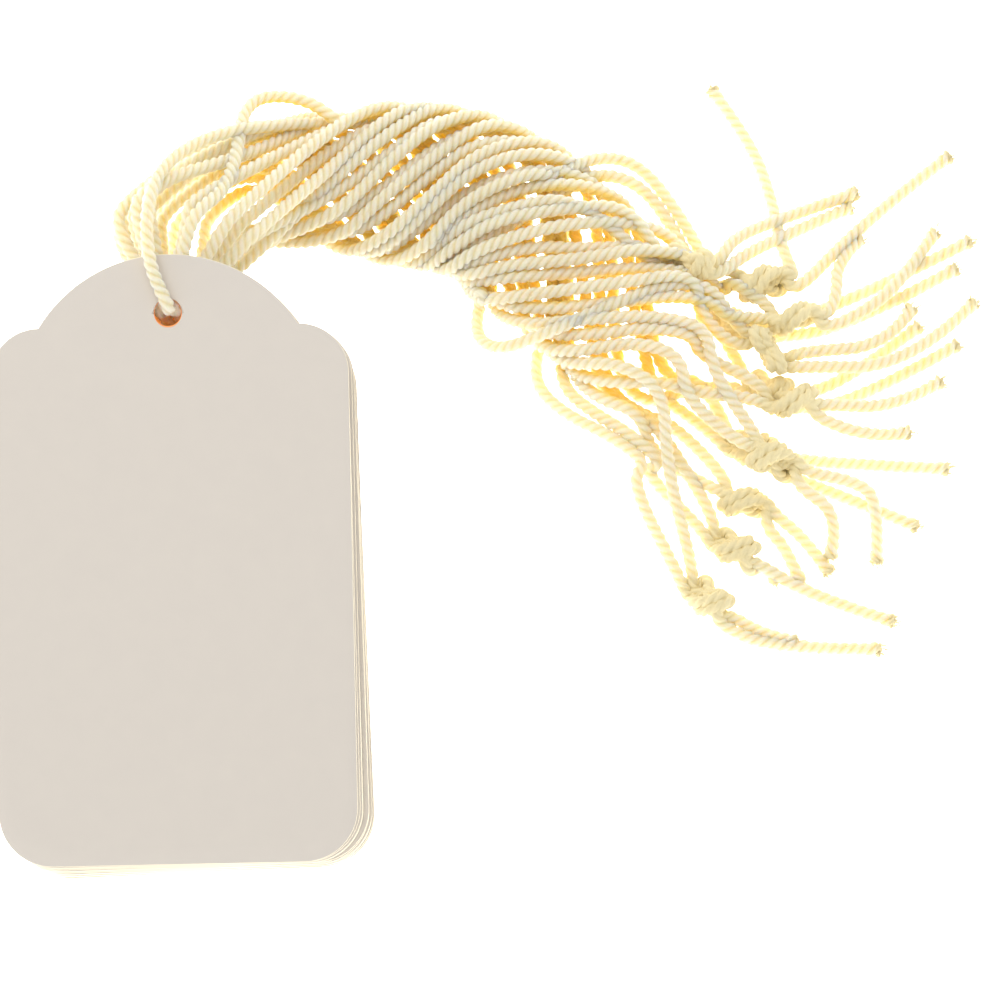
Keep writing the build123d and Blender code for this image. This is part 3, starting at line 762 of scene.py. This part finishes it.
# Painted light and shade: crest is the lighter cream on the ply tops, core a painted golden glow on skin
# facing the hank's middle, and tied a brighter cream painted on knots and cut ends.
COTTON_LAYERS = {"crest": "#f5ebd2", "core": "#ffdb84", "tied": "#f8e9b8"}
MIX_SHARE, MIX_FROM, MIX_TO, MIX_COLOUR = 0, 6, 7, 2  # a colour mix node's sockets, by number


def undyed_cotton():
    """Spun, twisted cotton: matt cream, fine fibres along the string, warm where light goes through; with
    a painted golden glow, painted shade in the grooves and painted light in knots and cut ends.
    """
    material, shader = new_material("undyed twisted cotton")
    lay = add_node(material, "ShaderNodeAttribute", attribute_name="lay").outputs["Vector"]
    stretched = add_node(material, "ShaderNodeMapping", {
        "Vector": lay, "Scale": (1 / FIBRE_LONG, 1.0, 1.0)}).outputs[0]
    fibres = add_node(material, "ShaderNodeTexNoise", {
        "Vector": stretched, "Scale": 1 / (FIBRE_MM * MM), "Detail": 3.0}).outputs["Fac"]
    patches = add_node(material, "ShaderNodeTexNoise", {
        "Vector": lay, "Scale": 1 / (PATCH_MM * MM), "Detail": 2.0}).outputs["Fac"]
    shares = {name: add_node(material, "ShaderNodeAttribute", attribute_name=name).outputs["Fac"]
              for name in COTTON_LAYERS}
    colour = linear(GROOVE_SHADE_CREAM)
    for name, code in COTTON_LAYERS.items():
        mixed = {MIX_SHARE: shares[name], MIX_FROM: colour, MIX_TO: linear(code)}
        colour = add_node(material, "ShaderNodeMix", mixed, data_type="RGBA").outputs[MIX_COLOUR]
    through = add_node(material, "ShaderNodeMapRange", {
        "Value": shares["tied"], "To Min": LIGHT_THROUGH, "To Max": 0.0}).outputs[0]
    fine = add_node(material, "ShaderNodeMapRange", {
        "Value": fibres, "To Min": FIBRE_TONES[0], "To Max": FIBRE_TONES[1]}).outputs[0]
    worn = add_node(material, "ShaderNodeMapRange", {
        "Value": patches, "To Min": PATCH_TONES[0], "To Max": PATCH_TONES[1]}).outputs[0]
    tone = add_node(material, "ShaderNodeMath", {0: fine, 1: worn}, operation="MULTIPLY").outputs[0]
    toned = add_node(material, "ShaderNodeVectorMath", {
        0: colour, "Scale": tone}, operation="SCALE").outputs[0]
    relief = add_node(material, "ShaderNodeBump", {
        "Height": fibres, "Strength": 0.7, "Distance": FIBRE_RELIEF_MM * MM}).outputs[0]
    set_inputs(material, shader, {
        "Base Color": toned, "Roughness": 0.9, "Normal": relief, "Specular IOR Level": 0.2,
        "Sheen Weight": 0.25, "Sheen Roughness": 0.5, "Subsurface Weight": through,
        "Subsurface Radius": LIGHT_SPREAD, "Subsurface Scale": LIGHT_DEPTH_MM * MM})
    return material


cotton = undyed_cotton()
print(cotton.name, "has", len(cotton.node_tree.nodes), "nodes")

# %% [markdown]
# ## Make the strings
#
# A real string is one length, so a string could be one piece that goes through its hole. Each leg is
# made a piece of its own instead, with one end in the hole and one free end: it leaves its tag's hole
# and ends in a cut tail. The two legs meet in the hole.

# %% Strings, one piece for each leg
SIDE_NAMES = {"b": "back", "f": "front"}
BODY = "strings"
for number in range(1, TAG_COUNT + 1):
    knot_place = ORIGIN + np.array(KNOT_PLACES[number - 1])
    for letter, side_name in SIDE_NAMES.items():
        name = f"string_{number:02d}_{side_name}"
        leg = f"{number}{letter}"
        piece, line, length = string_mesh(name, LEGS[leg], knot_place, leg in INNER_STRANDS, cotton)
        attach(piece, BODY)
        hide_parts(f"string_{number:02d}", f"knot_{number:02d}", f"tails_{number:02d}")
        fibres = fibre_mesh(f"{name}_fibres", line, cotton)
        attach(fibres, BODY)
        print(name, round(length, 1), "mm")

# %% [markdown]
# ## Card tags
#
# Each tag is punched from white card: a flat sheet with an arch between two shoulders, rounded lower
# corners and one round hole. It could be a filled curve with some thickness and a bevel, but the faces
# of such a sheet are long slivers. Here a section of the card is carried round the tag from the hole to
# the outline, so the faces are even. The die presses the rim a little round, so the section has small
# radii at the outline and at the hole instead of sharp corners.

# %% Tag outline
TAG_WIDTH, TAG_LENGTH = 40.0, 68.0
ARCH_RISE, SHOULDER_RADIUS, CORNER_RADIUS, HOLE_DROP = 8.0, 5.5, 6.0, 6.5
ARC_STEPS, ARCH_STEPS, LINE_STEPS = 14, 56, 20


def arc_run(centre, radius, from_deg, to_deg, steps=ARC_STEPS):
    """Points on an arc, its end left to the next run."""
    turn = np.radians(np.linspace(from_deg, to_deg, steps, endpoint=False))
    return np.array(centre) + radius * np.column_stack((np.cos(turn), np.sin(turn)))


def line_run(start, end):
    """Points on a straight line, its end left to the next run."""
    share = np.linspace(0, 1, LINE_STEPS, endpoint=False)[:, None]
    return (1 - share) * start + share * end


def tag_outline():
    """The die's line round a tag with its hole at the origin: arch, shoulders, sides and corners."""
    half, below = TAG_WIDTH / 2, TAG_LENGTH - HOLE_DROP
    chord, foot = half - SHOULDER_RADIUS, half - CORNER_RADIUS
    side_top, side_foot = HOLE_DROP - ARCH_RISE - SHOULDER_RADIUS, CORNER_RADIUS - below
    arch = (chord**2 + ARCH_RISE**2) / (2 * ARCH_RISE)
    lean = math.degrees(math.asin(chord / arch))
    return np.concatenate((
        arc_run((0, HOLE_DROP - arch), arch, 90 - lean, 90 + lean, ARCH_STEPS),
        arc_run((-chord, side_top), SHOULDER_RADIUS, 90, 180),
        line_run((-half, side_top), (-half, side_foot)),
        arc_run((-foot, side_foot), CORNER_RADIUS, 180, 270),
        line_run((-foot, -below), (foot, -below)),
        arc_run((foot, side_foot), CORNER_RADIUS, 270, 360),
        line_run((half, side_foot), (half, side_top)),
        arc_run((chord, side_top), SHOULDER_RADIUS, 0, 90)))


print(len(tag_outline()), "points round a tag of", np.round(np.ptp(tag_outline(), axis=0), 2), "mm")

# %% Section of the card
CARD_THICKNESS = 0.35
RIM_MM = 0.07
RIM_ROUND = ((1.0, 0.0), (0.35, 0.35), (0.0, 1.0))
SHEET_SHARES = (0.005, 0.03, 0.045, 0.25, 0.5, 0.75, 0.97)


def tag_section():
    """Closed section of the card, from hole to outline: share of the way out, pull from the edge and
    height."""
    half = CARD_THICKNESS / 2
    hole_top = [(0.0, pull * RIM_MM, half - drop * RIM_MM) for pull, drop in RIM_ROUND]
    face = [(share, 0.0, half) for share in SHEET_SHARES]
    edge_top = [(1.0, pull * RIM_MM, half - drop * RIM_MM) for pull, drop in RIM_ROUND]
    top = hole_top[::-1] + face + edge_top
    return np.array(top + [(share, pull, -height) for share, pull, height in top[::-1]])


SECTION = tag_section()
print(len(SECTION), "points in the section of a card")

# %% Tag surface
HOLE_RADIUS = 1.5
WAIST_CENTRE, WAIST_RADII = np.array((0.0, -12.0)), np.array((12.0, 15.5))
TAG_TURNS_DEG = (2.7, 2.3, 2.6, 2.2, 2.5, 2.0, 1.8, 2.1, 1.7, 1.5, 1.6, 1.2)
WARM_SHARE, WARM_SHARE_TOP = 0.04, 0.001  # how far out the warm light reaches, below and on top
SAME_MM = 0.001  # heights this close count as the same


def flat_tag():
    """The section carried round a flat tag: the first half of the way out goes from the hole to an
    ellipse round it, the second half from there to the outline, so that no line crosses a shoulder."""
    outline = tag_outline()
    spoke = unit(outline - WAIST_CENTRE)
    waist = WAIST_CENTRE + spoke / np.linalg.norm(spoke / WAIST_RADII, axis=1, keepdims=True)
    rays = unit(waist)
    tangent = np.roll(outline, -1, axis=0) - np.roll(outline, 1, axis=0)
    outward = unit(np.column_stack((tangent[:, 1], -tangent[:, 0])))
    share, pull, height = (SECTION[:, k][:, None, None] for k in range(3))
    hole = HOLE_RADIUS * rays
    near, far = np.clip(2 * share, 0, 1), np.clip(2 * share - 1, 0, 1)
    flat = hole + near * (waist - hole) + far * (outline - waist)
    flat = flat + np.where(share < 0.5, pull * rays, -pull * outward)
    return np.concatenate((flat, np.broadcast_to(height, (*flat.shape[:2], 1))), axis=-1)


def tag_mesh(number, material):
    """The flat tag, turned by its own small angle, tilted with its hole's axis and set on its hole."""
    local = flat_tag()
    rows, count = local.shape[:2]
    spin, tilt = math.radians(TAG_TURNS_DEG[number - 1]), TILTS[number - 1]
    across = np.array((math.cos(spin), math.sin(spin)))
    along = np.array((-math.sin(spin), math.cos(spin)))
    base = np.array((RIGHT, uphill(tilt)))
    place = np.array((across @ base, along @ base, NORMALS[number - 1]))
    faces = grid_faces(rows + 1, count) % (rows * count)
    points = HOLES[number - 1] + local.reshape(-1, 3) @ place
    piece = mesh_piece(f"card_tag_{number:02d}", points, faces[:, ::-1].tolist(), material)
    # rim is 1 on the cut edge; punched is 1 by the hole, and on the top card only in the hole's own wall.
    rim = np.abs(np.abs(SECTION[:, 2]) - CARD_THICKNESS / 2) > SAME_MM
    punched = SECTION[:, 0] < (WARM_SHARE if number < TAG_COUNT else WARM_SHARE_TOP)
    put_attribute(piece, "rim", np.repeat(rim.astype(float), count))
    put_attribute(piece, "punched", np.repeat(punched.astype(float), count))
    return piece


print("a tag has", flat_tag().shape[:2], "rows and columns of points")

# %% [markdown]
# ## White card
#
# Uncoated card is matt, with a faint tooth from the paper machine and soft clouds where the fibres lie
# thicker. A flat grey would do from far away, but close up it looks like plastic, so two scales of noise
# give the clouds and the tooth. The face is its own off-white made a little darker, as painted shade. The
# cut edge is raw fibre, so it is creamier than the face, and it is painted brighter still as painted light
# from the glowing table. In the punched holes light is passed on from card to card and turns a warm
# orange brown. So many bounces would be slow to trace, so the wall of the hole has that colour and a
# little glow of its own: painted light.

# %% Card material
CLOUD_MM, TOOTH_MM, TOOTH_RELIEF_MM = 2.5, 0.22, 0.02
# The card's own off-white clouds, darkened a little as painted shade over the whole face.
FACE_GREYS_WITH_SHADE = ("#ddd5cb", "#e1d9ce")
# rim: the cut edge's own creamier tone, brightened as painted light from the glowing table. punched:
# painted orange-brown light passed through the stack.
CUT_LAYERS = {"rim": "#fdf3d8", "punched": "#d08a4c"}
HOLE_ORANGE, HOLE_GLOW = "#c9793a", 0.7


def white_card():
    """Calendered, uncoated card: matt, faint clouds and a fine tooth; the face a little darker as painted
    shade, the cut edge creamier and brighter as painted light, and a painted glow in the holes.
    """
    material, shader = new_material("uncoated white card")
    where = add_node(material, "ShaderNodeTexCoord").outputs["Object"]
    clouds = add_node(material, "ShaderNodeTexNoise", {
        "Vector": where, "Scale": 1 / (CLOUD_MM * MM), "Detail": 4.0}).outputs["Fac"]
    tooth = add_node(material, "ShaderNodeTexNoise", {
        "Vector": where, "Scale": 1 / (TOOTH_MM * MM), "Detail": 3.0}).outputs["Fac"]
    dark, light = (linear(code) for code in FACE_GREYS_WITH_SHADE)
    colour = add_node(material, "ShaderNodeMix", {
        MIX_SHARE: clouds, MIX_FROM: dark, MIX_TO: light}, data_type="RGBA").outputs[MIX_COLOUR]
    shares = {name: add_node(material, "ShaderNodeAttribute", attribute_name=name).outputs["Fac"]
              for name in CUT_LAYERS}
    for name, code in CUT_LAYERS.items():
        mixed = {MIX_SHARE: shares[name], MIX_FROM: colour, MIX_TO: linear(code)}
        colour = add_node(material, "ShaderNodeMix", mixed, data_type="RGBA").outputs[MIX_COLOUR]
    glow = add_node(material, "ShaderNodeMapRange", {
        "Value": shares["punched"], "To Min": 0.0, "To Max": HOLE_GLOW}).outputs[0]
    relief = add_node(material, "ShaderNodeBump", {
        "Height": tooth, "Strength": 0.25, "Distance": TOOTH_RELIEF_MM * MM}).outputs[0]
    set_inputs(material, shader, {
        "Base Color": colour, "Roughness": 0.75, "Normal": relief, "Specular IOR Level": 0.3,
        "Emission Color": linear(HOLE_ORANGE), "Emission Strength": glow})
    return material


card_white = white_card()
print(card_white.name, "has", len(card_white.node_tree.nodes), "nodes")

# %% Tags on their bodies
for number in range(1, TAG_COUNT + 1):
    piece = tag_mesh(number, card_white)
    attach(piece, f"card_{number:02d}")
    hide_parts(f"tag_{number:02d}")
print(TAG_COUNT, "tags of", len(piece.data.polygons), "faces")
